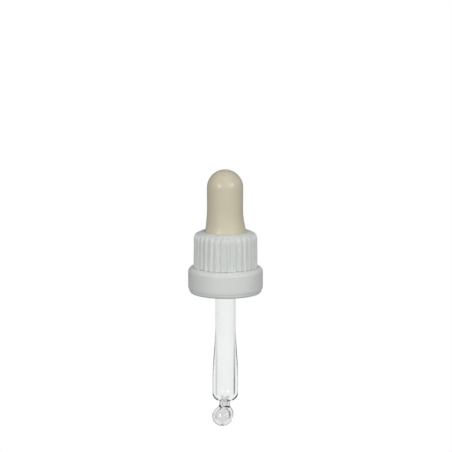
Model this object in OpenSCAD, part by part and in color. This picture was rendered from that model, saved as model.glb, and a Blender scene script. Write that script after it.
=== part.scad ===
// Medicine dropper closure for a small bottle: a rubber bulb, a ribbed screw cap with a tear-off
// tamper band, and a glass pipette with a ball tip.
// Z points up along the common axis. Z = 0 is the face that seals on the bottle's lip.

/* [Bottle neck] */
// Diameter at the root of the cap's thread
thread_d = 18.2; // [17.4:0.1:19.6]
// How far the thread ridge stands in from its root
thread_depth = 0.9; // [0.5:0.05:1.1]
// Rise of the thread in one turn
thread_pitch = 3; // [2:0.25:3.5]
// Length of one piece of the interrupted ridge, in degrees
thread_piece = 24; // [16:1:28]
// Break between one piece of the ridge and the next, in degrees
thread_break = 6; // [4:1:12]
// Depth below the lip at which the thread ridge ends at the top
thread_start = 2; // [1.9:0.1:2.2]
// Height above the skirt's lower edge at which the thread ridge ends at the bottom
thread_end = 0.2; // [0.1:0.05:0.6]

/* [Cap] */
// Height of the cap from its top face to the lower edge of the skirt
cap_h = 11.7; // [11:0.1:15]
// Thickness of the cap's top
cap_top = 1.55; // [1:0.05:2]
// Wall of the skirt, measured between the ribs
cap_wall = 0.95; // [0.7:0.05:1.2]
// Radius that rounds the cap's shoulder
shoulder_r = 2.6; // [1.8:0.1:2.8]
// Number of grip ribs
rib_count = 32; // [24:1:40]
// How far a rib stands proud of the skirt
rib_h = 0.38; // [0.2:0.02:0.5]
// Width of a rib at its crest
rib_crest = 0.7; // [0.5:0.05:0.9]
// Width of a rib where it meets the skirt
rib_foot = 1.15; // [1:0.05:1.3]
// How much the ribs widen from the shoulder to the lower edge
rib_draft = 0.1; // [0:0.02:0.2]

/* [Tamper band] */
// How far the band stands out past the ribs
band_reach = 1.77; // [1.2:0.01:3]
// Outer diameter of the band
band_d = thread_d + 2 * (cap_wall + rib_h + rib_draft + band_reach);
// Height of the band
band_h = 8.5; // [7.6:0.1:10.5]
// Wall of the band
band_wall = 1.1; // [0.9:0.05:1.3]
// Thickness of the flange that closes the band's top
band_flange = 1.2; // [1:0.1:1.5]
// Radius that rounds the band's upper edge
band_round = 1.6; // [1:0.1:1.8]
// Height of the tapered foot of the band
foot_h = 1.65; // [1:0.05:2]
// How far the foot tapers in
foot_taper = 0.85; // [0.4:0.05:0.9]
// Step where the foot starts
foot_step = 0.1; // [0.05:0.01:0.15]
// Slit between the skirt and the band, which the bridges cross
break_gap = 0.12; // [0.1:0.02:0.4]
// Number of breakable bridges
bridge_count = 10; // [6:1:16]
// Width of a bridge round the band
bridge_w = 0.6; // [0.4:0.05:0.9]
// Radial depth of a bridge
bridge_t = 0.5; // [0.3:0.05:0.6]
// Number of catch flaps inside the band
flap_count = 8; // [6:1:10]
// How far each flap reaches in from the band's wall
flap_reach = 1.5; // [1:0.1:1.7]
// How far each flap rises
flap_rise = 2.8; // [2:0.1:3.5]
// Thickness of a flap
flap_t = 0.55; // [0.4:0.05:0.7]

/* [Bulb] */
// Outer diameter of the bulb
bulb_d = 11.86; // [11:0.02:13]
// Height of the bulb above the cap
bulb_h = 20.43; // [18.5:0.01:26]
// How much the bulb's foot flares out on each side
flare = 0.8; // [0.4:0.05:0.9]
// Height over which the foot flares
flare_h = 7.8; // [6:0.1:9]
// Wall of the bulb
bulb_wall = 1.25; // [0.9:0.05:1.6]
// Thickness of the flange that seals on the lip
flange_t = 1.6; // [1.2:0.1:2]
// Height of the collar that grips the glass, above the lip
collar_h = 6; // [5:0.1:8]

/* [Pipette] */
// Outer diameter of the tube
tube_d = 6.76; // [6:0.02:7.2]
// Outer diameter of the belly above the tip
belly_d = 8.44; // [7.2:0.02:8.8]
// Wall of the tube
tube_wall = 0.48; // [0.4:0.02:0.9]
// Inner diameter of the tube
lumen_d = tube_d - 2 * tube_wall;
// Share of the space between the tube and the bulb's wall that the rim takes
rim_share = 0.55; // [0.3:0.05:0.8]
// Diameter of the rim that rests on the bulb's collar
rim_d = tube_d + rim_share * (bulb_d - 2 * bulb_wall - tube_d);
// Height of that rim
rim_h = 1.6; // [1.2:0.1:2]
// Length of the glass from the lip to the end of the tip
glass_l = 62.6; // [52:0.1:74]
// Length of the stretch in which the tube widens to the belly
widen_l = 18; // [14:0.5:20]
// Length of the straight belly
belly_l = 5; // [3:0.5:7]
// Radius of the belly's lower shoulder
belly_round = 2.3; // [1.8:0.1:2.6]
// Glass below the lumen's floor, down to the end of the belly
belly_floor = 0.7; // [0.6:0.1:1.6]
// Radius that rounds the lumen's floor
lumen_round = 2.1; // [1.6:0.1:2.2]
// Outer diameter of the neck above the ball
neck_d = 3.5; // [2.8:0.02:4]
// Diameter of the ball tip
ball_d = 7; // [6:0.02:7.2]
// Diameter of the hollow in the ball
ball_hollow_d = 4.6; // [3:0.1:5]
// Diameter of the channel through the neck
channel_d = 1.5; // [1:0.1:1.8]
// Diameter of the drip hole
drip_d = 1; // [0.8:0.1:1.2]
// How far the hand-worked tip stands off the axis
tip_lean = 0.92; // [0:0.02:1]

/* [Fits] */
// Clearance between the bulb and the hole in the cap, on each side
hole_clear = 0.05; // [0.03:0.01:0.1]
// Clearance between the bulb's flange and the cap
flange_clear = 0.04; // [0.02:0.01:0.06]
// Clearance between the bulb's collar and the glass
grip_clear = 0.03; // [0.02:0.01:0.05]

/* [Hidden] */
$fn = 128;
eps = 0.01;                 // how far a cutter runs past the face that it cuts

// Heights, from the lip up and down
cap_under = flange_t + flange_clear;
cap_z = cap_under + cap_top;
skirt_z = cap_z - cap_h;
band_z = skirt_z - break_gap;
band_foot_z = band_z - band_h;
bulb_z = cap_z + bulb_h;
tip_z = -glass_l;
ball_z = tip_z + ball_d / 2;
belly_gap = 1.8;            // from the ball's top to the lower end of the belly
belly_z = ball_z + ball_d / 2 + belly_gap;
widen_z = belly_z + belly_round + belly_l + widen_l;

// Radii, from the thread out
thread_r = thread_d / 2;
skirt_r = thread_r + cap_wall;
crest_r = skirt_r + rib_h;
band_r = band_d / 2;
bulb_r = bulb_d / 2;
bulb_foot_r = bulb_r + flare;
hole_r = bulb_foot_r + hole_clear;
flange_clear_r = 0.15;      // between the flange's edge and the thread's root
flange_r = thread_r - flange_clear_r;
cavity_r = bulb_r - bulb_wall;
tube_r = tube_d / 2;
belly_r = belly_d / 2;
grip_r = tube_r + grip_clear;
rim_r = rim_d / 2;

// Grip ribs
crest_round = 0.7 * shoulder_r;
crest_drop = 0.85 * shoulder_r;     // from the cap's top to the centre of the crest's round end
rib_pitch = 360 / rib_count;
rib_base_r = thread_r + cap_wall / 2;

// Catch flaps and bridges
flap_share = 0.76;          // the share of the circle that the flaps take
flap_foot = 0.5;            // from the band's lower edge to the flap's foot
flap_foot_h = 0.9;          // height of the foot, where it joins the band
bridge_r = skirt_r - cap_wall / 2;
band_edge_r = min(band_round, band_r - bridge_r - bridge_t / 2);    // clear of the bridges

// The bent tip
tip_bend = 7.4;             // angle of the neck to the axis
tip_flat = 0.12;            // height of the fire-polished flat at the drip hole
neck_round = 0.75;          // radius in the corner between belly and neck
neck_up = belly_gap + ball_d / 2;   // from the ball's centre to the belly

STEPS = 12;                 // straight steps along a curved outline

// Thread ridge
thread_foot_w = 2;          // width of the ridge where it is set into the wall
thread_crest_w = 0.7;       // width of the ridge at its crest
thread_sunk = 0.3;          // how far the ridge is set into the wall
thread_rise = -skirt_z - thread_start - thread_foot_w - thread_end;
thread_turns = thread_rise / thread_pitch;  // from the middle of the first piece to that of the last

// A smooth rise from 0 to 1 as t runs from 0 to 1
function ease(t) = (1 - cos(180 * t)) / 2;

// One piece of the thread ridge in section, set into the wall
module thread_section() {
    foot = thread_foot_w / 2;
    crest = thread_crest_w / 2;
    polygon([
        [thread_r + thread_sunk, -foot], [thread_r + thread_sunk, foot],
        [thread_r - thread_depth, crest], [thread_r - thread_depth, -crest]
    ]);
}

// The interrupted right-hand thread: short arcs, each tilted to the helix angle, one above another
module thread_ridge() {
    step = thread_piece + thread_break;
    count = 1 + floor(360 * thread_turns / step);
    lean = atan(thread_pitch / (2 * PI * thread_r));
    top = -thread_start - thread_foot_w / 2;
    for (i = [0:count - 1])
        translate([0, 0, top - thread_pitch * (count - 1 - i) * step / 360])
            rotate(i * step)
                rotate([lean, 0, 0])
                    rotate(-thread_piece / 2)
                        rotate_extrude(angle = thread_piece) thread_section();
}

// The skirt's outline, with a rounded shoulder
module cap_outline() {
    translate([0, skirt_z]) square([skirt_r, cap_h - shoulder_r]);
    translate([0, skirt_z]) square([skirt_r - shoulder_r, cap_h]);
    translate([skirt_r - shoulder_r, cap_z - shoulder_r]) circle(shoulder_r);
}

// The outline of the ribs' crests, whose upper ends curve in to the shoulder
module crest_outline() {
    centre = [crest_r - crest_round, cap_z - crest_drop];
    polygon([
        [rib_base_r, skirt_z], [crest_r + rib_draft, skirt_z],
        [crest_r, centre[1]], [rib_base_r, centre[1]]
    ]);
    intersection() {
        translate(centre) circle(crest_round);
        translate([skirt_r - shoulder_r, cap_z - shoulder_r - crest_round])
            square([crest_r, shoulder_r + crest_round]);
    }
}

// All the ribs seen from above: each tapers from its foot to its crest
module rib_plan() {
    reach = crest_r + rib_draft + eps;
    for (i = [0:rib_count - 1])
        rotate((i + 0.5) * rib_pitch)
            polygon([
                [skirt_r - shoulder_r, -rib_foot / 2], [skirt_r, -rib_foot / 2],
                [reach, -rib_crest / 2], [reach, rib_crest / 2],
                [skirt_r, rib_foot / 2], [skirt_r - shoulder_r, rib_foot / 2]
            ]);
}

module cap_shell() {
    color("whitesmoke") {
        difference() {
            union() {
                rotate_extrude() cap_outline();
                intersection() {
                    rotate_extrude() crest_outline();
                    translate([0, 0, skirt_z]) linear_extrude(cap_h) rib_plan();
                }
            }
            translate([0, 0, skirt_z - eps])
                cylinder(r = thread_r, h = cap_under - skirt_z + eps);
            translate([0, 0, skirt_z]) cylinder(r = hole_r, h = cap_h + eps);
        }
        thread_ridge();
    }
}

// The band's section: a flange on top, a rounded upper edge and a stepped, tapered foot
module band_section() {
    inner = band_r - band_wall;
    straight_z = band_foot_z + foot_h;
    difference() {
        polygon([
            [thread_r, band_z], [band_r, band_z],
            [band_r, straight_z], [band_r - foot_step, straight_z],
            [band_r - foot_step - foot_taper / 3, band_foot_z + foot_h / 3],
            [band_r - foot_taper, band_foot_z], [inner, band_foot_z],
            [inner, band_z - band_flange], [thread_r, band_z - band_flange]
        ]);
        translate([band_r - band_edge_r, band_z - band_edge_r])
            difference() {
                square(band_edge_r + eps);
                circle(band_edge_r);
            }
    }
}

module tamper_band() {
    color("whitesmoke") rotate_extrude() band_section();
}

module break_bridges() {
    color("whitesmoke")
        for (i = [0:bridge_count - 1])
            rotate(i * 360 / bridge_count)
                translate([bridge_r - bridge_t / 2, -bridge_w / 2, band_z])
                    cube([bridge_t, bridge_w, break_gap]);
}

// One flap in section: a foot on the band's wall and a leaf that leans in and up
module flap_section() {
    wall_r = band_r - band_wall;
    z = band_foot_z + flap_foot;
    polygon([
        [wall_r, z], [wall_r, z + flap_foot_h],
        [wall_r - flap_reach + flap_t / 2, z + flap_rise],
        [wall_r - flap_reach - flap_t / 2, z + flap_rise], [wall_r - flap_t, z]
    ]);
}

module catch_flaps() {
    pitch = 360 / flap_count;
    sweep = pitch * flap_share;
    color("whitesmoke")
        for (i = [0:flap_count - 1])
            rotate(i * pitch - sweep / 2) rotate_extrude(angle = sweep) flap_section();
}

// The bulb's outer outline above the cap: a flared foot, a straight wall and a round head
function bulb_side() = [
    for (i = [0:STEPS])
        let (t = i / STEPS) [bulb_r + flare * (1 - t) * (1 - t), cap_z + flare_h * t]
];

module rubber_bulb() {
    head_z = bulb_z - bulb_r;
    color("tan")
        rotate_extrude()
            difference() {
                union() {
                    square([flange_r, flange_t]);
                    square([bulb_foot_r, cap_z]);
                    polygon(concat([[0, cap_z]], bulb_side(), [[bulb_r, head_z], [0, head_z]]));
                    intersection() {
                        translate([0, head_z]) circle(bulb_r);
                        translate([0, head_z]) square(bulb_r);
                    }
                }
                translate([0, -eps]) square([grip_r, collar_h + 2 * eps]);
                translate([0, collar_h]) square([cavity_r, head_z - collar_h]);
                intersection() {
                    translate([0, head_z]) circle(cavity_r);
                    translate([0, head_z - eps]) square(cavity_r + eps);
                }
            }
}

// The tube's outline from the rim to the belly's shoulder
function tube_side() = [
    for (i = [0:STEPS])
        let (t = i / STEPS)
            [tube_r + (belly_r - tube_r) * ease(t), widen_z - widen_l * t]
];

module tube_outline() {
    rim_z = collar_h + grip_clear;
    shoulder_z = belly_z + belly_round;
    translate([0, rim_z]) square([rim_r - rim_h / 2, rim_h]);
    translate([rim_r - rim_h / 2, rim_z + rim_h / 2])
        intersection() {
            circle(rim_h / 2);
            translate([0, -rim_h / 2]) square([rim_h / 2, rim_h]);
        }
    polygon(concat(
        [[0, shoulder_z], [0, rim_z + rim_h / 2], [tube_r, rim_z + rim_h / 2]],
        tube_side(), [[belly_r, shoulder_z]]
    ));
    translate([0, belly_z]) square([belly_r - belly_round, belly_round + eps]);
    intersection() {
        translate([belly_r - belly_round, shoulder_z]) circle(belly_round);
        translate([belly_r - belly_round, belly_z]) square(belly_round);
    }
}

// The neck and the ball, about the ball's centre, with the neck along Z
module tip_outline() {
    half = neck_d / 2;
    top = neck_up + neck_round / 3;
    intersection() {
        circle(ball_d / 2);
        translate([0, -ball_d / 2 + tip_flat]) square(ball_d);
    }
    square([half, neck_up + belly_round]);
    difference() {
        translate([half, top - neck_round]) square([neck_round, neck_round]);
        translate([half + neck_round, top - neck_round]) circle(neck_round);
    }
}

module tip_bore() {
    cylinder(d = channel_d, h = neck_up + belly_floor + channel_d / 2);
    sphere(d = ball_hollow_d);
    translate([0, 0, -ball_d]) cylinder(d = drip_d, h = ball_d);
}

// The lumen's outline, open at the top, with a rounded floor
module lumen_outline() {
    lumen_r = lumen_d / 2;
    floor_z = belly_z + belly_floor;
    side_z = floor_z + lumen_round;
    translate([0, floor_z]) square([lumen_r - lumen_round, bulb_z - floor_z]);
    translate([0, side_z]) square([lumen_r, bulb_z - side_z]);
    translate([lumen_r - lumen_round, side_z])
        intersection() {
            circle(lumen_round);
            translate([0, -lumen_round]) square(lumen_round);
        }
}

module glass_pipette() {
    color("lightblue", 0.4)
        difference() {
            union() {
                rotate_extrude() tube_outline();
                translate([-tip_lean, 0, ball_z])
                    rotate([0, tip_bend, 0]) rotate_extrude() tip_outline();
            }
            rotate_extrude() lumen_outline();
            translate([-tip_lean, 0, ball_z]) rotate([0, tip_bend, 0]) tip_bore();
        }
}

cap_shell();
tamper_band();
break_bridges();
catch_flaps();
rubber_bulb();
glass_pipette();
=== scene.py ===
"""A medicine dropper: rubber bulb, ribbed screw cap, tamper band and glass pipette, on a plain pale stage."""

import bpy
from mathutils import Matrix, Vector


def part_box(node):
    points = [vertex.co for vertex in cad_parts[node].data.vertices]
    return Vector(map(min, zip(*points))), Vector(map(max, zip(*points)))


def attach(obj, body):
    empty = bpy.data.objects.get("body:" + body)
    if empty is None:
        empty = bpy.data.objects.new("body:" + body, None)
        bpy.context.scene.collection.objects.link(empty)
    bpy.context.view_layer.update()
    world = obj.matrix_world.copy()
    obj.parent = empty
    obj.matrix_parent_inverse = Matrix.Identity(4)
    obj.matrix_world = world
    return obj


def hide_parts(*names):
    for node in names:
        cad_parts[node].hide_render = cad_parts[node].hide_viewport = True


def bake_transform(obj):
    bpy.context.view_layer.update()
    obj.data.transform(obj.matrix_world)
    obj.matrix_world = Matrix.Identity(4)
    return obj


bl_info = {
    "name": "Medicine Dropper",
    "version": (1, 0, 0),
    "blender": (4, 5, 0),
    "location": "3D View > Sidebar > Dropper",
    "description": "Builds a bottle dropper piece by piece around its packed frame",
    "category": "Add Mesh",
}

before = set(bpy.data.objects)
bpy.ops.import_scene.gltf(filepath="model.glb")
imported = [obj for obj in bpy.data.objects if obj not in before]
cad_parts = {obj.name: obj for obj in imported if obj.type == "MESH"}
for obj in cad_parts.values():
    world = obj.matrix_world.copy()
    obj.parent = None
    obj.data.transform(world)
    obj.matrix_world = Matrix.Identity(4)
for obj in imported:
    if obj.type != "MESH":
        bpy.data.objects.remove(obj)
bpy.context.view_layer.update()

import math

import bmesh
import bpy
import numpy as np
from bpy.props import FloatProperty, FloatVectorProperty, IntProperty, PointerProperty
from mathutils import Vector

MM = 0.001


# ---------------------------------------------------------------- places read from the frame

def span(node):
    """A node's lowest and highest z, and its largest radius."""
    low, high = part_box(node)
    return low.z, high.z, max(high.y, -low.y)


CAP_LOW, CAP_TOP, CAP_RADIUS = span("cap_shell")
BAND_LOW, BAND_TOP, BAND_RADIUS = span("tamper_band")
BULB_LOW, BULB_TOP, FLANGE_RADIUS = span("rubber_bulb")
GLASS_LOW, GLASS_TOP, BELLY_RADIUS = span("glass_pipette")
BRIDGE_LOW, BRIDGE_TOP, BRIDGE_RADIUS = span("break_bridges")
FLAP_LOW, FLAP_TOP, FLAP_RADIUS = span("catch_flaps")


# ---------------------------------------------------------------- sizes and colours a user may change

def length(name, description, millimetres):
    """A length property whose default is given in millimetres."""
    return FloatProperty(
        name=name, description=description, default=millimetres * MM, min=0, unit="LENGTH", precision=5
    )


def colour(name, description, default):
    """A colour property with values from 0 to 1."""
    return FloatVectorProperty(
        name=name, description=description, default=default, size=3, min=0, max=1, subtype="COLOR"
    )


class DropperCapSizes(bpy.types.PropertyGroup):
    """Sizes of the screw cap."""

    thread_radius: length("Thread radius", "Radius at the root of the inner thread", 9.1)
    thread_depth: length("Thread depth", "How far the thread ridge stands in", 0.9)
    thread_pitch: length("Thread pitch", "Rise of the thread in one turn", 3.0)
    thread_foot: length("Thread foot", "Width of the ridge at the wall", 1.65)
    thread_crest: length("Thread crest", "Width of the ridge at its crest", 0.7)
    thread_start: length("Thread start", "Depth of the ridge's upper end below the lip", 2.0)
    thread_pieces: IntProperty(name="Thread pieces", description="Arcs of ridge", default=18, min=1)
    wall: length("Wall", "Wall of the skirt between the ribs", 0.95)
    top: length("Top", "Thickness of the cap's top", 1.55)
    hole_gap: length("Hole gap", "Gap between the bulb's foot and the hole", 0.05)
    shoulder: length("Shoulder", "Radius that rounds the shoulder", 2.6)
    rib_count: IntProperty(name="Ribs", description="Number of grip ribs", default=32, min=3)
    rib_height: length("Rib height", "How far a rib stands proud", 0.38)
    rib_crest: length("Rib crest", "Width of a rib at its crest", 0.4)
    rib_foot: length("Rib foot", "Width of a rib at the skirt", 1.2)
    groove: length("Groove", "How far the grooves between ribs sink into the skirt", 0.09)
    rib_draft: length("Rib draft", "How much the ribs widen downwards", 0.1)


class DropperBandSizes(bpy.types.PropertyGroup):
    """Sizes of the tamper band, its bridges and its catch flaps."""

    wall: length("Wall", "Wall of the band", 1.1)
    flange: length("Flange", "Thickness of the flange at the top", 1.2)
    rounding: length("Rounding", "Radius of the upper edge", 1.6)
    foot: length("Foot", "Height of the tapered foot", 1.65)
    taper: length("Taper", "How far the foot tapers in", 0.85)
    line: length("Line", "Depth of the moulded line above the foot", 0.19)
    bridge_count: IntProperty(name="Bridges", description="Breakable bridges", default=10, min=1)
    bridge_width: length("Bridge width", "Width of a bridge", 0.6)
    bridge_depth: length("Bridge depth", "Radial depth of a bridge", 0.5)
    flap_count: IntProperty(name="Flaps", description="Catch flaps", default=8, min=1)
    flap_share: FloatProperty(name="Flap share", description="Share of the circle", default=0.76)
    flap_reach: length("Flap reach", "How far a flap reaches in", 1.5)
    flap_thickness: length("Flap thickness", "Thickness of a flap", 0.55)
    flap_foot: length("Flap foot", "Height of a flap's foot", 0.9)


class DropperBulbSizes(bpy.types.PropertyGroup):
    """Sizes of the rubber bulb."""

    radius: length("Radius", "Outer radius of the bulb", 5.93)
    flare: length("Flare", "How much the foot flares out", 0.8)
    flare_height: length("Flare height", "Height of the flare", 7.8)
    wall: length("Wall", "Wall of the bulb", 1.25)
    flange: length("Flange", "Thickness of the sealing flange", 1.6)
    collar: length("Collar", "Height of the collar that grips the glass", 6.0)
    bore: length("Bore", "Radius of the collar's bore", 3.41)
    waist: length("Waist", "How far the wall draws in below the head", 0.04)
    seam: length("Seam", "Height of the moulding seam", 0.02)
    lean: length("Lean", "How far the soft head leans off the axis", 0.15)


class DropperGlassSizes(bpy.types.PropertyGroup):
    """Sizes of the glass pipette."""

    tube: length("Tube radius", "Outer radius of the tube", 3.35)
    lumen: length("Lumen radius", "Inner radius of the tube", 2.9)
    rim: length("Rim radius", "Radius of the rim at the top", 4.095)
    rim_height: length("Rim height", "Height of that rim", 1.6)
    widening: length("Widening", "Length over which the tube widens", 18.0)
    belly: length("Belly", "Length of the straight belly", 5.0)
    belly_round: length("Belly rounding", "Radius of the belly's lower shoulder", 2.3)
    floor: length("Floor", "Glass below the lumen's floor", 0.7)
    floor_round: length("Floor rounding", "Radius that rounds the lumen's floor", 2.1)
    neck: length("Neck radius", "Outer radius of the neck", 1.75)
    neck_gap: length("Neck gap", "From the ball's top to the belly", 1.8)
    ball: length("Ball radius", "Radius of the ball tip", 3.5)
    hollow: length("Hollow radius", "Radius of the hollow in the ball", 2.3)
    channel: length("Channel radius", "Radius of the channel in the neck", 0.75)
    drip: length("Drip radius", "Radius of the drip hole", 0.5)
    lean: length("Lean", "How far the ball stands off the axis", 0.92)
    sway: length("Sway", "How far the drawn tube strays from straight at the belly", 0.1)
    waviness: length("Waviness", "Unevenness of the drawn wall", 0.004)


class DropperColours(bpy.types.PropertyGroup):
    """Colours of the three materials."""

    plastic: colour("Plastic", "White moulded plastic", (0.80, 0.825, 0.80))
    rubber: colour("Rubber", "Cream rubber", (0.715, 0.66, 0.50))
    glass: colour("Glass", "Clear glass", (0.985, 1.0, 0.995))
    floor: colour("Floor", "Pale floor", (1.0, 1.0, 1.0))


class DropperSettings(bpy.types.PropertyGroup):
    """All the settings of the dropper."""

    cap: PointerProperty(type=DropperCapSizes)
    band: PointerProperty(type=DropperBandSizes)
    bulb: PointerProperty(type=DropperBulbSizes)
    glass: PointerProperty(type=DropperGlassSizes)
    colours: PointerProperty(type=DropperColours)


# ---------------------------------------------------------------- curves and surfaces

def smooth(t):
    """0 below 0, 1 above 1 and 3t^2 - 2t^3 between."""
    t = np.clip(t, 0, 1)
    return t * t * (3 - 2 * t)


def arc(centre, radius, start, end, steps):
    """Points centre + radius * (cos a, sin a), with a going evenly from start to end degrees."""
    a = np.radians(np.linspace(start, end, steps + 1))
    return np.column_stack([centre[0] + radius * np.cos(a), centre[1] + radius * np.sin(a)])


def rounded(corners, closed, step=1.0 * MM, arc_steps=6):
    """An outline through corners (r, z, rounding): each corner gives way to a circular arc tangent to both its
    sides, at rounding / tan(half the corner's angle) from it, and straight stretches are cut to step or less."""
    count = len(corners)
    points = []
    for i, (r, z, rounding) in enumerate(corners):
        here = np.array([r, z])
        if not closed and i in (0, count - 1):
            points.append(here[None])
            continue
        before = np.array(corners[i - 1][:2]) - here
        after = np.array(corners[(i + 1) % count][:2]) - here
        before, after = before / np.linalg.norm(before), after / np.linalg.norm(after)
        half = math.acos(np.clip(before @ after, -1, 1)) / 2
        away = rounding / math.tan(half)
        centre = here + (before + after) / np.linalg.norm(before + after) * rounding / math.sin(half)
        first, last = here + before * away - centre, here + after * away - centre
        a = math.atan2(first[1], first[0])
        turn = (math.atan2(last[1], last[0]) - a + math.pi) % (2 * math.pi) - math.pi
        steps = max(2, math.ceil(arc_steps * abs(turn) / (math.pi / 2)))
        points.append(arc(centre, rounding, math.degrees(a), math.degrees(a + turn), steps))
    return cut(np.concatenate(points), closed, step)


def cut(line, closed, step):
    """The same line with extra points, evenly set, wherever two of its points are more than step apart."""
    ends = np.roll(line, -1, axis=0) if closed else line[1:]
    starts = line if closed else line[:-1]
    pieces = []
    for a, b in zip(starts, ends):
        gap = np.linalg.norm(b - a)
        if gap > 1e-9:
            t = np.arange(max(1, math.ceil(gap / step - 1e-6)))[:, None] / max(1, math.ceil(gap / step - 1e-6))
            pieces.append(a + (b - a) * t)
    if not closed:
        pieces.append(line[-1:])
    return np.concatenate(pieces)


def normals(line, closed):
    """Unit vectors square to the line's direction at each point, on its right-hand side."""
    if closed:
        along = np.roll(line, -1, axis=0) - np.roll(line, 1, axis=0)
    else:
        along = np.gradient(line, axis=0)
    along = along / np.maximum(np.linalg.norm(along, axis=1, keepdims=True), 1e-12)
    return np.column_stack([along[:, 1], -along[:, 0]])


def turned(r, z, angles):
    """The surface (r cos a, r sin a, z), with r and z given on the grid of profile points and angles."""
    a = np.broadcast_to(angles, r.shape)
    return np.stack([r * np.cos(a), r * np.sin(a), np.broadcast_to(z, r.shape)], axis=-1)


def grid_faces(rows, columns, close_rows):
    """Quads between neighbouring points of a grid whose columns close on themselves."""
    i = np.arange(rows if close_rows else rows - 1)[:, None]
    j = np.arange(columns)[None, :]
    a, b = i * columns + j, i * columns + (j + 1) % columns
    up = (i + 1) % rows * columns
    return np.stack([a, b, up + (j + 1) % columns, up + j], axis=-1).reshape(-1, 4)


def skin(name, points, close_rows=False, poles=(), material=None):
    """An object from a grid of points, rows by columns. The columns close on themselves. Where the rows don't,
    poles holds two points, and a fan of triangles closes the first and last row on them."""
    rows, columns = points.shape[:2]
    verts = points.reshape(-1, 3)
    faces = grid_faces(rows, columns, close_rows).tolist()
    if poles:
        j = np.arange(columns)
        following = (j + 1) % columns
        first, last, end = rows * columns, rows * columns + 1, (rows - 1) * columns
        faces += np.column_stack([following, j, np.full(columns, first)]).tolist()
        faces += np.column_stack([end + j, end + following, np.full(columns, last)]).tolist()
        verts = np.concatenate([verts, np.array(poles, float)])
    mesh = bpy.data.meshes.new(name)
    mesh.from_pydata(verts.tolist(), [], faces)
    return finished(name, mesh, material)


def finished(name, mesh, material):
    """Links a mesh as an object, with its faces outward and shaded smooth."""
    bm = bmesh.new()
    bm.from_mesh(mesh)
    bmesh.ops.recalc_face_normals(bm, faces=bm.faces)
    bm.to_mesh(mesh)
    bm.free()
    mesh.polygons.foreach_set("use_smooth", np.ones(len(mesh.polygons), bool))
    mesh.update()
    piece = bpy.data.objects.new(name, mesh)
    bpy.context.scene.collection.objects.link(piece)
    mesh.materials.append(material)
    return piece


def joined(name, pieces, material):
    """One object from several that share a material."""
    bm = bmesh.new()
    for piece in pieces:
        bm.from_mesh(piece.data)
        old = piece.data
        bpy.data.objects.remove(piece)
        bpy.data.meshes.remove(old)
    mesh = bpy.data.meshes.new(name)
    bm.to_mesh(mesh)
    bm.free()
    return finished(name, mesh, material)


def tag(piece, name, values):
    """Stores one number for each point of a piece, for its material to read."""
    attribute = piece.data.attributes.new(name, "FLOAT", "POINT")
    attribute.data.foreach_set("value", np.ascontiguousarray(values, np.float32).ravel())


# ---------------------------------------------------------------- materials

class Nodes:
    """A short way to write a material's nodes."""

    def __init__(self, name, tree=None):
        if tree is None:
            self.material = bpy.data.materials.get(name) or bpy.data.materials.new(name)
            self.material.use_nodes = True
            tree = self.material.node_tree
        self.tree = tree
        self.tree.nodes.clear()

    def add(self, kind, values=None, **settings):
        """A node of this kind. values go to its inputs: a number or colour is set, a socket is linked."""
        node = self.tree.nodes.new("ShaderNode" + kind)
        for key, value in settings.items():
            setattr(node, key, value)
        for key, value in (values or {}).items():
            if isinstance(value, bpy.types.NodeSocket):
                self.tree.links.new(value, node.inputs[key])
            else:
                node.inputs[key].default_value = value
        return node

    def noise(self, place, scale, detail=3.0, roughness=0.5):
        """Fractal noise, with scale in features per metre."""
        values = {"Vector": place, "Scale": scale, "Detail": detail, "Roughness": roughness}
        return self.add("TexNoise", values).outputs["Fac"]

    def remap(self, value, low, high, new_low, new_high):
        """value carried from low..high to new_low..new_high, and held at the ends."""
        values = {
            "Value": value, "From Min": low, "From Max": high, "To Min": new_low, "To Max": new_high
        }
        return self.add("MapRange", values).outputs["Result"]

    def maths(self, operation, first, second):
        """One sum on two values or sockets."""
        return self.add("Math", {0: first, 1: second}, operation=operation).outputs[0]

    def blend(self, share, first, second):
        """A colour from first to second as share goes from 0 to 1."""
        node = self.add("Mix", data_type="RGBA")
        for socket, value in ((node.inputs[0], share), (node.inputs[6], first), (node.inputs[7], second)):
            if isinstance(value, bpy.types.NodeSocket):
                self.tree.links.new(value, socket)
            else:
                socket.default_value = value
        return node.outputs[2]

    def grey(self, value):
        """The same value in all three channels."""
        return self.add("CombineColor", {"Red": value, "Green": value, "Blue": value}).outputs["Color"]

    def bump(self, height, strength, distance, normal=None):
        """The surface's direction as tilted by a height, on top of an earlier relief if one is given."""
        values = {"Height": height, "Strength": strength, "Distance": distance}
        if normal is not None:
            values["Normal"] = normal
        return self.add("Bump", values).outputs["Normal"]

    def object_place(self, stretch=None):
        """Object coordinates, stretched along the axes if asked."""
        place = self.add("TexCoord").outputs["Object"]
        if stretch is None:
            return place
        return self.add("Mapping", {"Vector": place, "Scale": stretch}).outputs["Vector"]

    def close(self, shader):
        """Links the shader to the output and returns the material."""
        self.add("OutputMaterial", {"Surface": shader.outputs[0]})
        return self.material


def rgba(value, factor=1.0):
    """A colour made brighter or darker by a factor, with full cover."""
    return (value[0] * factor, value[1] * factor, value[2] * factor, 1.0)


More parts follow.
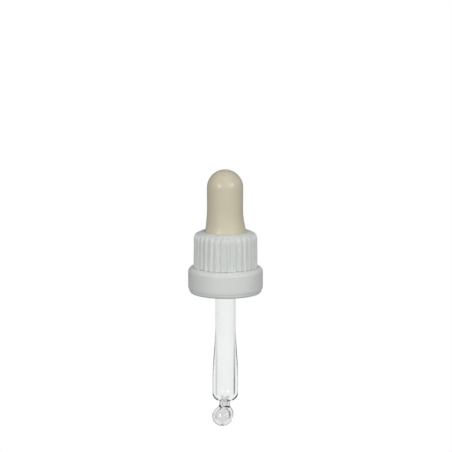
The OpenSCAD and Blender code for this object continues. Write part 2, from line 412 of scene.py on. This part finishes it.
def plastic_material(colours):
    """White moulded plastic: a cloudy tone, painted shade darkening the grooves between the ribs, a fine
    spark-eroded grain and faint flow lines."""
    n = Nodes("white_moulded_plastic")
    place = n.object_place()
    cloud = n.noise(place, 260.0, 4.0)
    tone = n.blend(n.remap(cloud, 0.35, 0.65, 0.0, 1.0), rgba(colours.plastic, 0.975), rgba(colours.plastic))
    groove = n.add("Attribute", attribute_name="groove").outputs["Fac"]
    # painted shade: where the groove mask is 1 the colour goes 30% of the way to 0.86 times the plastic, standing
    # in for the shade between the ribs
    groove_painted_shade = n.blend(n.remap(groove, 0.0, 1.0, 0.0, 0.3), tone, rgba(colours.plastic, 0.86))
    grain = n.noise(place, 7000.0, 2.0, 0.6)
    flow = n.noise(n.object_place((1.0, 1.0, 0.12)), 900.0, 3.0)
    finish = n.remap(n.noise(place, 900.0, 5.0), 0.3, 0.7, 0.36, 0.5)
    relief = n.bump(grain, 0.1, 0.00003)
    relief = n.bump(flow, 0.1, 0.00006, relief)
    shader = n.add("BsdfPrincipled", {
        "Base Color": groove_painted_shade, "Roughness": finish, "IOR": 1.49, "Normal": relief,
        "Subsurface Weight": 0.12, "Subsurface Radius": (0.0012, 0.0012, 0.0011), "Subsurface Scale": 1.0,
    })
    return n.close(shader)


def rubber_material(colours):
    """Cream rubber: soft mottling, a chalky bloom in patches, pin-point pores and a satin skin."""
    n = Nodes("cream_rubber")
    place = n.object_place()
    mottle = n.noise(place, 600.0, 5.0, 0.55)
    tone = n.blend(n.remap(mottle, 0.3, 0.7, 0.0, 1.0), rgba(colours.rubber, 0.99), rgba(colours.rubber, 1.01))
    bloom = n.remap(n.noise(n.object_place((1.0, 1.0, 0.5)), 900.0, 6.0, 0.65), 0.5, 0.8, 0.0, 0.07)
    chalk = (0.80, 0.77, 0.66, 1.0)
    pores = n.add("TexVoronoi", {"Vector": place, "Scale": 5200.0}).outputs["Distance"]
    skin_grain = n.noise(place, 9000.0, 3.0, 0.6)
    relief = n.bump(n.remap(pores, 0.0, 0.25, 0.0, 1.0), 0.05, 0.00001)
    relief = n.bump(skin_grain, 0.08, 0.00002, relief)
    relief = n.bump(n.noise(place, 500.0, 2.0), 0.06, 0.0001, relief)
    shader = n.add("BsdfPrincipled", {
        "Base Color": n.blend(bloom, tone, chalk), "Normal": relief,
        "Roughness": n.remap(mottle, 0.3, 0.7, 0.55, 0.62), "IOR": 1.45,
        "Coat Weight": 0.8, "Coat Roughness": n.remap(mottle, 0.3, 0.7, 0.20, 0.24),
        "Subsurface Weight": 0.08, "Subsurface Radius": (0.0012, 0.0009, 0.0006), "Subsurface Scale": 1.0,
    })
    return n.close(shader)


def glass_material(colours, tip_z):
    """Clear drawn glass: long faint draw lines and a slight swell in the wall. Below tip_z, on the flame-formed
    tip, the colour is darker as painted shade and the surface is less even."""
    n = Nodes("clear_drawn_glass")
    lines = n.noise(n.object_place((1.0, 1.0, 0.03)), 1600.0, 3.0)
    swell = n.noise(n.object_place((1.0, 1.0, 0.25)), 260.0, 2.0)
    relief = n.bump(lines, 0.12, 0.00004)
    relief = n.bump(swell, 0.2, 0.0001, relief)
    height = n.add("SeparateXYZ", {"Vector": n.object_place()}).outputs["Z"]
    tip_shade_and_haze = n.remap(height, tip_z - 0.6 * MM, tip_z + 0.6 * MM, 1.0, 0.0)
    # painted shade: below tip_z the glass colour goes to 0.88 times its tint, standing in for shade seen through
    # the tip; the rougher surface there is real
    shader = n.add("BsdfPrincipled", {
        "Base Color": n.blend(tip_shade_and_haze, rgba(colours.glass), rgba(colours.glass, 0.88)), "IOR": 1.5,
        "Roughness": n.remap(tip_shade_and_haze, 0.0, 1.0, 0.0, 0.06), "Transmission Weight": 1.0, "Normal": relief,
    })
    return n.close(shader)


def settings():
    """The scene's dropper sizes and colours."""
    return bpy.context.scene.dropper


# ---------------------------------------------------------------- the screw cap

def rib_angles(count, radius, crest, foot):
    """Angles set closely where a rib's flanks rise and widely on its crest and in the valley between ribs.
    Across one pitch they are crest, flank, valley and flank again, and the pattern is repeated count times."""
    pitch = 2 * math.pi / count
    c, f = crest / 2 / radius, foot / 2 / radius
    flank = np.linspace(c, f, 5)
    valley = np.linspace(f, pitch / 2, 3)[1:]
    half = np.concatenate([[0], [c / 2], flank, valley])
    whole = np.concatenate([half, -half[1:-1][::-1] + pitch])
    middles = (np.arange(count) + 0.5) * pitch
    return (middles[:, None] + whole[None, :]).ravel()


def rib_share(angles, count, radius, crest, foot):
    """1 on a rib's crest and 0 in a valley, with a smooth flank between."""
    pitch = 2 * math.pi / count
    off = np.abs((angles / pitch - 0.5 + 0.5) % 1.0 - 0.5) * pitch * radius
    return smooth((foot / 2 - off) / (foot / 2 - crest / 2))


def thread_share(angles, z, s):
    """How far the thread ridge stands, from 0 to 1, at each angle and height. The ridge's middle is at
    z = top - pitch * (turns left), in arcs of 24 degrees with breaks of 6, and its flanks slope evenly."""
    piece, pitch_angle = math.radians(24), math.radians(30)
    top = -s.thread_start - s.thread_foot / 2 - 0.15 * MM
    low = top - s.thread_pitch * (s.thread_pieces - 1) * pitch_angle / (2 * math.pi)
    share = np.zeros(np.broadcast(angles, z).shape)
    for turn in range(-1, 3):
        t = angles + 2 * math.pi * turn
        inside = (t > -piece / 2) & (t < (s.thread_pieces - 1) * pitch_angle + piece / 2)
        off = np.abs((t + pitch_angle / 2) % pitch_angle - pitch_angle / 2)
        ends = smooth((piece / 2 - off) / math.radians(2.5)) * inside
        away = np.abs(z - low - s.thread_pitch * t / (2 * math.pi))
        flank = (s.thread_foot / 2 - away) / (s.thread_foot / 2 - s.thread_crest / 2)
        share = np.maximum(share, ends * smooth(flank))
    return share


def cap_outline(s, foot_radius):
    """The cap's closed outline, from the lower inner edge up the bore, over the top and down the outside."""
    hole = foot_radius + s.hole_gap
    skirt = s.thread_radius + s.wall
    under = CAP_TOP - s.top
    inner = rounded([
        (s.thread_radius, CAP_LOW, 0.12 * MM), (s.thread_radius, under, 0.35 * MM),
        (hole, under, 0.1 * MM), (hole, CAP_TOP, 0.3 * MM),
        (skirt, CAP_TOP, s.shoulder), (skirt, CAP_LOW, 0.08 * MM),
    ], closed=True, step=0.3 * MM, arc_steps=24)
    return inner


def make_cap(material):
    """The cap as a grid of outline points by angles. An outside point moves out along the outline's normal by
    rib_height * rib_share * (how far it is past the shoulder), and an inside one moves in by the thread."""
    s = settings().cap
    bulb = settings().bulb
    foot_radius = bulb.radius + bulb.flare
    line = cap_outline(s, foot_radius)
    skirt = s.thread_radius + s.wall
    angles = rib_angles(s.rib_count, skirt, s.rib_crest, s.rib_foot)
    out = normals(line, closed=True)
    r, z = line[:, :1], line[:, 1:]
    centre = np.array([skirt - s.shoulder, CAP_TOP - s.shoulder])
    lean = np.degrees(np.arctan2(r - centre[0], z - centre[1]))
    outside = (r > s.thread_radius + s.wall * 0.5) | ((z > centre[1]) & (r > centre[0]))
    rise = np.where(outside, smooth((lean - 44) / 9), 0.0)
    foot_fade = smooth((z - CAP_LOW) / (0.1 * MM))
    draft = s.rib_draft * np.clip((centre[1] - z) / (centre[1] - CAP_LOW), 0, 1) * (rise > 0.99)
    share = rib_share(angles[None, :], s.rib_count, skirt, s.rib_crest, s.rib_foot)
    height = share * (s.rib_height * rise * (0.4 + 0.6 * foot_fade) + draft)
    height = height - (1 - share) * s.groove * smooth((lean - 52) / 20) * outside * foot_fade
    bore = (np.abs(r - s.thread_radius) < 0.01 * MM) & (z < CAP_TOP - s.top)
    thread = thread_share(angles[None, :], z, s) * s.thread_depth * bore
    sign = np.sign(out[np.argmax(line[:, 0]), 0])
    new_r = r + sign * out[:, :1] * height - thread
    new_z = z + sign * out[:, 1:] * height
    piece = skin("cap_shell_moulding", turned(new_r, new_z, angles[None, :]), close_rows=True, material=material)
    # The groove mask tells the plastic material where to darken its colour as painted shade between the ribs.
    groove = rise * (1 - share)
    tag(piece, "groove", np.broadcast_to(groove, new_r.shape))
    return piece


# ---------------------------------------------------------------- the tamper band

def make_band(material):
    """The band's closed outline turned about the axis: flange, rounded shoulder, straight side, a fine moulded
    line, and a foot that tapers in."""
    s = settings().band
    inner, bore = BAND_RADIUS - s.wall, settings().cap.thread_radius
    straight = BAND_LOW + s.foot
    foot = BAND_RADIUS - s.taper
    bead = 0.3 * MM
    line = rounded([
        (bore, BAND_TOP, 0.1 * MM), (BAND_RADIUS, BAND_TOP, s.rounding),
        (BAND_RADIUS, straight + 0.12 * MM, 0.04 * MM),
        (BAND_RADIUS - s.line, straight, 0.03 * MM),
        (BAND_RADIUS - s.line * 0.45, straight - 0.12 * MM, 0.05 * MM),
        (BAND_RADIUS - s.line * 0.7, straight - bead, 0.05 * MM),
        (BAND_RADIUS - s.line * 1.7, straight - bead - 0.08 * MM, 0.04 * MM),
        (BAND_RADIUS - s.taper * 0.5, BAND_LOW + s.foot * 0.3, 0.7 * MM),
        (foot, BAND_LOW, 0.22 * MM), (inner, BAND_LOW, 0.2 * MM),
        (inner, BAND_TOP - s.flange, 0.3 * MM), (bore, BAND_TOP - s.flange, 0.15 * MM),
    ], closed=True, step=0.5 * MM, arc_steps=14)
    angles = np.linspace(0, 2 * math.pi, 288, endpoint=False)[None, :]
    r = np.repeat(line[:, :1], angles.size, axis=1)
    piece = skin("tamper_band_moulding", turned(r, line[:, 1:], angles), close_rows=True, material=material)
    tag(piece, "groove", np.zeros(r.shape))
    return piece


def make_bridges(material):
    """Each bridge is a rounded box section carried from the band up to the skirt. Its half sides shrink by a
    third of sin(pi v) at share v of the way up, so it has a waist where it tears."""
    s = settings().band
    middle = BRIDGE_RADIUS - s.bridge_depth / 2
    a = np.linspace(0, 2 * math.pi, 20, endpoint=False)[None, :]
    v = np.linspace(0, 1, 9)[:, None]
    waist = 1 - np.sin(np.pi * v) / 3
    side = np.sign(np.cos(a)) * np.abs(np.cos(a)) ** 0.5 * s.bridge_depth / 2 * waist
    along = np.sign(np.sin(a)) * np.abs(np.sin(a)) ** 0.5 * s.bridge_width / 2 * waist
    z = np.broadcast_to(BRIDGE_LOW + (BRIDGE_TOP - BRIDGE_LOW) * v, side.shape)
    webs = []
    for turn in np.arange(s.bridge_count) * 2 * math.pi / s.bridge_count:
        x, y = middle + side, along
        points = np.stack([x * np.cos(turn) - y * np.sin(turn), x * np.sin(turn) + y * np.cos(turn), z], axis=-1)
        poles = [(middle * math.cos(turn), middle * math.sin(turn), level) for level in (BRIDGE_LOW, BRIDGE_TOP)]
        webs.append(skin("web", points, poles=poles, material=material))
    piece = joined("break_bridge_webs", webs, material)
    tag(piece, "groove", np.zeros(len(piece.data.vertices)))
    return piece


def make_flaps(material):
    """Each flap is a rounded leaf section carried round an arc. Near the arc's ends the section shrinks about
    its middle by 1 - sqrt(1 - e^2), e being how far a point is into the rounded end."""
    s = settings().band
    wall = BAND_RADIUS - s.wall
    t = s.flap_thickness
    section = rounded([
        (wall, FLAP_LOW, 0.1 * MM), (wall, FLAP_LOW + s.flap_foot, 0.1 * MM),
        (wall - s.flap_reach + t / 2, FLAP_TOP, 0.2 * MM), (wall - s.flap_reach - t / 2, FLAP_TOP, 0.2 * MM),
        (wall - t, FLAP_LOW, 0.1 * MM),
    ], closed=True, step=0.4 * MM, arc_steps=5)
    middle = section.mean(axis=0)
    sweep = 2 * math.pi / s.flap_count * s.flap_share
    ends = 1 - np.cos(np.linspace(0, math.pi / 2, 6))[:-1]
    even = np.linspace(0, 1, 24)
    round_share = 0.02
    share = np.concatenate([ends * round_share, round_share + (1 - 2 * round_share) * even,
                            1 - ends[::-1] * round_share])
    into = np.clip(1 - np.minimum(share, 1 - share) / round_share, 0, 1)
    size = np.maximum(np.sqrt(1 - into ** 2), 0.25)[:, None]
    leaves = []
    for number in range(s.flap_count):
        a = (number * 2 * math.pi / s.flap_count - sweep / 2 + sweep * share)[:, None]
        r = middle[0] + (section[:, 0] - middle[0]) * size
        z = middle[1] + (section[:, 1] - middle[1]) * size
        points = np.stack([r * np.cos(a), r * np.sin(a), z], axis=-1)
        poles = [(middle[0] * math.cos(e), middle[0] * math.sin(e), middle[1]) for e in (a[0, 0], a[-1, 0])]
        leaves.append(skin("leaf", points, poles=poles, material=material))
    piece = joined("catch_flap_leaves", leaves, material)
    tag(piece, "groove", np.zeros(len(piece.data.vertices)))
    return piece


# ---------------------------------------------------------------- the rubber bulb

def bulb_outline(s):
    """From the top pole down the outside, round the flange, up the bore and the cavity to the inner pole. The
    side's radius is radius + flare * (1 - t)^2 at share t of the flare's height, less a shallow waist."""
    head = BULB_TOP - s.radius
    dome = arc((0, head), s.radius, 90, 0, 36)[1:]
    side_z = np.linspace(head, CAP_TOP, 50)[1:]
    t = np.clip((side_z - CAP_TOP) / s.flare_height, 0, 1)
    dip = s.waist * np.sin(np.pi * (side_z - CAP_TOP) / (head - CAP_TOP)) ** 2
    side = np.column_stack([s.radius + s.flare * (1 - t) ** 2 - dip, side_z])
    foot = s.radius + s.flare
    cavity = s.radius - s.wall
    lower = rounded([
        (foot, CAP_TOP - 0.02 * MM, 0), (foot, s.flange, 0.15 * MM),
        (FLANGE_RADIUS, s.flange, 0.3 * MM), (FLANGE_RADIUS, BULB_LOW, 0.3 * MM),
        (s.bore, BULB_LOW, 0.25 * MM), (s.bore, s.collar, 0.3 * MM),
        (cavity, s.collar, 0.5 * MM), (cavity, head, 0),
    ], closed=False, step=0.6 * MM)
    inner = arc((0, head), cavity, 0, 90, 20)[1:-1]
    return np.concatenate([dome, side, lower, inner])


def make_bulb(material):
    """The bulb's outline turned about the axis, with two moulding seams: a ridge of height
    seam * exp(-(arc length from the seam / 0.12 mm)^2) that fades out over the crown and stays outside. The
    whole soft head then leans by lean * smooth(height above the cap / 5 mm)."""
    s = settings().bulb
    line = bulb_outline(s)
    seam_width = 0.12 * MM
    near = np.linspace(-3, 3, 9) * seam_width / s.radius
    even = np.linspace(0.14, math.pi - 0.14, 60)
    half = np.concatenate([near, even])
    angles = np.sort(np.concatenate([half, half + math.pi]) % (2 * math.pi))[None, :]
    off = np.abs((angles + math.pi / 2) % math.pi - math.pi / 2) * s.radius
    head = BULB_TOP - s.radius
    outer_wall = (line[:, :1] > s.radius - s.wall * 0.5) & (line[:, 1:] > CAP_TOP)
    outer_crown = line[:, 1:] > BULB_TOP - s.wall * 0.9
    outside = outer_wall | outer_crown
    fade = smooth((BULB_TOP - 0.6 * MM - line[:, 1:]) / (2.5 * MM)) * outside
    ridge = s.seam * np.exp(-(off / seam_width) ** 2) * fade
    r = line[:, :1] + ridge
    points = turned(r, line[:, 1:], angles)
    points[..., 0] -= s.lean * smooth((points[..., 2] - CAP_TOP) / (5 * MM))
    poles = [(-s.lean, 0, BULB_TOP), (-s.lean, 0, head + s.radius - s.wall)]
    return skin("rubber_bulb_skin", points, poles=poles, material=material)


# ---------------------------------------------------------------- the glass pipette

def centre_line(z, s, ball_z, belly_z):
    """How far the glass's middle stands off the axis at height z: sway * (0.5 - 1.5 * (share of the way to the
    neck)^2) above the neck, then a further -(lean - sway) * a smooth rise that bends most in the neck and goes on
    straight through the ball."""
    neck_top = belly_z + 1.2 * MM
    t = (neck_top - z) / (neck_top - ball_z)
    bend = np.where(t < 1, smooth(t * 0.62) / smooth(0.62), 1.0 + (t - 1) * 0.35)
    down = np.clip(z / neck_top, 0, 1)
    return s.sway * (0.5 - 1.5 * down ** 2) - (s.lean - s.sway) * bend * (t > 0)


def glass_outlines(s):
    """The outer outline from the rim down to the drip hole and the inner one back up, as (r, z) points."""
    ball_z = GLASS_LOW + s.ball - 0.03 * MM
    belly_z = ball_z + s.ball + s.neck_gap
    shoulder = belly_z + s.belly_round
    widen_end = shoulder + s.belly
    rim_low = GLASS_TOP - s.rim_height
    rim = np.column_stack([
        s.rim - s.rim_height / 2 + s.rim_height / 2 * np.cos(np.radians(np.linspace(80, -80, 17))),
        GLASS_TOP - s.rim_height / 2 + s.rim_height / 2 * np.sin(np.radians(np.linspace(80, -80, 17))),
    ])
    t = np.linspace(0, 1, 60)[1:]
    widen_top = widen_end + s.widening
    shaft_z = np.linspace(rim_low - 0.35 * MM, widen_top, 60)
    shaft = np.column_stack([np.full(60, s.tube), shaft_z])
    ease = (1 - np.cos(np.pi * t)) / 2
    widening = np.column_stack([s.tube + (BELLY_RADIUS - s.tube) * ease, widen_top - s.widening * t])
    round_x = BELLY_RADIUS - s.belly_round
    belly = arc((round_x, shoulder), s.belly_round, 0, -72, 22)
    corner = 0.5 * MM
    fillet = arc((s.neck + corner, belly_z - 0.38 * MM), corner, 124, 180, 10)
    blend = 1.15 * MM
    rise = math.sqrt((s.ball + blend) ** 2 - (s.neck + blend) ** 2)
    meet = math.degrees(math.atan2(rise, s.neck + blend))
    neck = arc((s.neck + blend, ball_z + rise), blend, 180, 180 + meet, 9)[:-1]
    ball = arc((0, ball_z), s.ball, meet, -90 + math.degrees(math.asin(s.drip / s.ball)) + 3, 44)
    outer = np.concatenate([rim, shaft, widening, belly, fillet, neck, ball])
    tip = arc((s.drip + 0.12 * MM, GLASS_LOW + 0.12 * MM), 0.12 * MM, -90, -180, 4)
    hollow_low = -90 + math.degrees(math.asin(s.drip / s.hollow))
    hollow_high = 90 - math.degrees(math.asin(s.channel / s.hollow))
    hollow = arc((0, ball_z), s.hollow, hollow_low, hollow_high, 26)
    edge = 0.3 * MM
    lip_x = s.channel + edge
    floor_x = s.lumen - s.floor_round
    lumen_z = belly_z + s.floor + s.floor_round
    start = -math.acos((lip_x - floor_x) / s.floor_round)
    lip_z = lumen_z + s.floor_round * math.sin(start) - edge
    channel_z = np.linspace(ball_z + s.hollow + 0.1 * MM, lip_z, 16)[:-1]
    channel = np.column_stack([np.full(15, s.channel), channel_z])
    lip = arc((lip_x, lip_z), edge, 180, 90, 6)[:-1]
    bowl = arc((floor_x, lumen_z), s.floor_round, math.degrees(start), 0, 22)
    upper_z = np.linspace(lumen_z, GLASS_TOP - 0.4 * MM, 130)[1:]
    upper = np.column_stack([np.full(129, s.lumen), upper_z])
    mouth = arc((s.lumen + 0.4 * MM, GLASS_TOP - 0.4 * MM), 0.4 * MM, 180, 90, 6)[1:]
    inner = np.concatenate([tip, hollow, channel, lip, bowl, upper, mouth])
    return outer, inner, ball_z, belly_z


def make_glass(material):
    """The glass as one closed grid: outer outline down, inner outline up, each ring centred on the bent middle
    line. Its radius is changed by waviness * (sin(2a + 900 z) + sin(3a - 500 z)) / 2, a mark of hand drawing."""
    s = settings().glass
    outer, inner, ball_z, belly_z = glass_outlines(s)
    line = np.concatenate([outer, inner])
    angles = np.linspace(0, 2 * math.pi, 144, endpoint=False)[None, :]
    r, z = line[:, :1], line[:, 1:]
    wave = (np.sin(2 * angles + 900 * z) + np.sin(3 * angles - 500 * z)) / 2
    free = smooth((r - s.lumen * 0.9) / (0.5 * MM)) * (z < -2 * MM)
    ring_z = belly_z + s.belly_round + s.belly + s.widening + 0.3 * MM
    ring = 1.5 * s.waviness * np.exp(-((z - ring_z) / (0.35 * MM)) ** 2)
    new_r = r + (s.waviness * wave + ring) * free
    points = turned(new_r, z, angles)
    points[..., 0] += centre_line(z, s, ball_z, belly_z)
    return skin("glass_pipette_wall", points, close_rows=True, material=material)


# ---------------------------------------------------------------- operators

class DropperOperator:
    """What the dropper's operators share."""

    bl_options = {"REGISTER", "UNDO"}

    def execute(self, context):
        self.make(context.scene.dropper)
        return {"FINISHED"}


class DROPPER_OT_cap(DropperOperator, bpy.types.Operator):
    """Make the ribbed screw cap"""

    bl_idname = "dropper.cap"
    bl_label = "Screw Cap"

    def make(self, dropper):
        piece = make_cap(plastic_material(dropper.colours))
        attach(piece, "closure")
        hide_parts("cap_shell")


class DROPPER_OT_band(DropperOperator, bpy.types.Operator):
    """Make the tamper band with its bridges and catch flaps"""

    bl_idname = "dropper.band"
    bl_label = "Tamper Band"

    def make(self, dropper):
        plastic = plastic_material(dropper.colours)
        makers = {"tamper_band": make_band, "break_bridges": make_bridges, "catch_flaps": make_flaps}
        for node, maker in makers.items():
            piece = maker(plastic)
            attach(piece, "tear_ring")
            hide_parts(node)


class DROPPER_OT_bulb(DropperOperator, bpy.types.Operator):
    """Make the rubber bulb, whose head leans a little off the axis while its foot sits in the cap"""

    bl_idname = "dropper.bulb"
    bl_label = "Rubber Bulb"

    def make(self, dropper):
        piece = make_bulb(rubber_material(dropper.colours))
        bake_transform(piece)
        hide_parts("rubber_bulb")


class DROPPER_OT_glass(DropperOperator, bpy.types.Operator):
    """Make the glass pipette with its bent ball tip"""

    bl_idname = "dropper.glass"
    bl_label = "Glass Pipette"

    def make(self, dropper):
        glass = dropper.glass
        tip_z = GLASS_LOW + 2 * glass.ball + glass.neck_gap
        piece = make_glass(glass_material(dropper.colours, tip_z))
        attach(piece, "closure")
        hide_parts("glass_pipette")


class DROPPER_OT_stage(DropperOperator, bpy.types.Operator):
    """Make the floor, the studio lights, the pale surroundings and the camera"""

    bl_idname = "dropper.stage"
    bl_label = "Stage"

    def make(self, dropper):
        make_floor(dropper.colours)
        make_surroundings()
        make_lights()
        make_camera()


# ---------------------------------------------------------------- the stage

CAMERA_HEIGHT_AIMED_AT = 4.9 * MM
CAMERA_ELEVATION = math.radians(10.1)
CAMERA_DISTANCE = 0.741
CAMERA_LENS = 180.0
CAMERA_SIDE = 0.16 * MM


def make_floor(colours):
    """A pale paper floor well below the hanging tip. It is seen only from above, and it throws no light back."""
    half, drop = 6.0, 0.12
    mesh = bpy.data.meshes.new("floor")
    z = GLASS_LOW - drop
    corners = [(-half, -half, z), (half, -half, z), (half, half, z), (-half, half, z)]
    mesh.from_pydata(corners, [], [(0, 1, 2, 3)])
    n = Nodes("pale_paper")
    paper = n.add("Emission", {"Color": rgba(colours.floor), "Strength": 1.0})
    clear = n.add("BsdfTransparent")
    under = n.add("NewGeometry").outputs["Backfacing"]
    mixed = n.add("MixShader", {0: under, 1: paper.outputs[0], 2: clear.outputs[0]})
    mesh.materials.append(n.close(mixed))
    floor = bpy.data.objects.new("floor", mesh)
    bpy.context.scene.collection.objects.link(floor)
    floor.visible_diffuse = False
    floor.visible_glossy = False
    floor.visible_transmission = False
    floor.visible_shadow = False


def make_surroundings():
    """A white backdrop, as the camera sees it. What lights the pieces is a dimmer room, less bright below. The
    glass sees a white wall behind it, which goes grey to the left and dark to the right, and a white table."""
    world = bpy.data.worlds.new("pale_room")
    bpy.context.scene.world = world
    world.use_nodes = True
    n = Nodes(None, world.node_tree)
    path = n.add("LightPath").outputs
    way = n.add("SeparateXYZ", {"Vector": n.add("TexCoord").outputs["Generated"]}).outputs
    fill = n.remap(way["Z"], -0.5, 0.6, 0.26, 0.28)
    wall = n.remap(way["Y"], 0.2, 0.9, 0.35, 0.97)
    wall = n.maths("MULTIPLY", wall, n.remap(way["X"], 0.66, 0.85, 1.0, 0.1))
    wall = n.maths("MULTIPLY", wall, n.remap(way["Z"], 0.3, 0.8, 1.0, 0.6))
    wall = n.maths("MAXIMUM", wall, n.remap(way["Z"], -0.6, -0.2, 0.95, 0.0))
    seen = n.blend(path["Is Transmission Ray"], n.grey(fill), n.grey(wall))
    seen = n.blend(path["Is Camera Ray"], seen, (1.02, 1.02, 1.02, 1.0))
    background = n.add("Background", {"Color": seen})
    n.add("OutputWorld", {"Surface": background.outputs[0]})


def add_light(name, direction, distance, size, power):
    """A soft box at distance from the bulb, along direction, that faces it."""
    aim = Vector((0, 0, BULB_TOP - 0.01))
    light = bpy.data.lights.new(name, "AREA")
    light.shape = "RECTANGLE"
    light.size, light.size_y = size
    light.energy = power
    lamp = bpy.data.objects.new(name, light)
    lamp.location = aim + Vector(direction).normalized() * distance
    lamp.rotation_euler = (aim - lamp.location).to_track_quat("-Z", "Y").to_euler()
    bpy.context.scene.collection.objects.link(lamp)
    return lamp


def make_lights():
    """Two soft boxes in front, left and right, one overhead, and a wide one in front that leaves no highlight."""
    add_light("left_box", (-0.587, -0.764, 0.266), 0.8, (0.2, 0.2), 1.4)
    add_light("right_box", (0.656, -0.663, 0.359), 0.8, (0.2, 0.2), 1.5)
    add_light("top_box", (0.076, -0.29, 0.954), 0.8, (0.24, 0.24), 0.35)
    front = add_light("front_box", (0.05, -0.93, 0.36), 0.8, (0.5, 0.4), 1.45)
    front.visible_glossy = False
    front.visible_transmission = False


def make_camera():
    """A long lens a little above the cap, looking down on it."""
    camera = bpy.data.cameras.new("camera")
    camera.lens = CAMERA_LENS
    camera.clip_start, camera.clip_end = 0.01, 50.0
    eye = bpy.data.objects.new("camera", camera)
    back = Vector((0, -math.cos(CAMERA_ELEVATION), math.sin(CAMERA_ELEVATION)))
    eye.location = Vector((CAMERA_SIDE, 0, CAMERA_HEIGHT_AIMED_AT)) + back * CAMERA_DISTANCE
    eye.rotation_euler = (math.pi / 2 - CAMERA_ELEVATION, 0, 0)
    bpy.context.scene.collection.objects.link(eye)
    bpy.context.scene.camera = eye
    bpy.context.scene.view_settings.view_transform = "Standard"


# ---------------------------------------------------------------- the panel and the add-on

OPERATORS = (DROPPER_OT_stage, DROPPER_OT_glass, DROPPER_OT_cap, DROPPER_OT_band, DROPPER_OT_bulb)


class DROPPER_PT_panel(bpy.types.Panel):
    """The dropper's pieces and sizes"""

    bl_label = "Medicine Dropper"
    bl_idname = "DROPPER_PT_panel"
    bl_space_type = "VIEW_3D"
    bl_region_type = "UI"
    bl_category = "Dropper"

    def draw(self, context):
        dropper = context.scene.dropper
        for operator in OPERATORS:
            self.layout.operator(operator.bl_idname)
        for group in (dropper.cap, dropper.band, dropper.bulb, dropper.glass, dropper.colours):
            box = self.layout.box()
            for key in group.__annotations__:
                box.prop(group, key)


CLASSES = (
    DropperCapSizes, DropperBandSizes, DropperBulbSizes, DropperGlassSizes, DropperColours, DropperSettings,
    *OPERATORS, DROPPER_PT_panel,
)


def register():
    """Registers every class and gives the scene its settings."""
    for item in CLASSES:
        bpy.utils.register_class(item)
    bpy.types.Scene.dropper = PointerProperty(type=DropperSettings)


def unregister():
    """Undoes what register did, in the other order."""
    del bpy.types.Scene.dropper
    for item in reversed(CLASSES):
        bpy.utils.unregister_class(item)


def main():
    register()
    bpy.ops.dropper.stage()
    bpy.ops.dropper.glass()
    bpy.ops.dropper.cap()
    bpy.ops.dropper.band()
    bpy.ops.dropper.bulb()


if __name__ == "__main__":
    main()
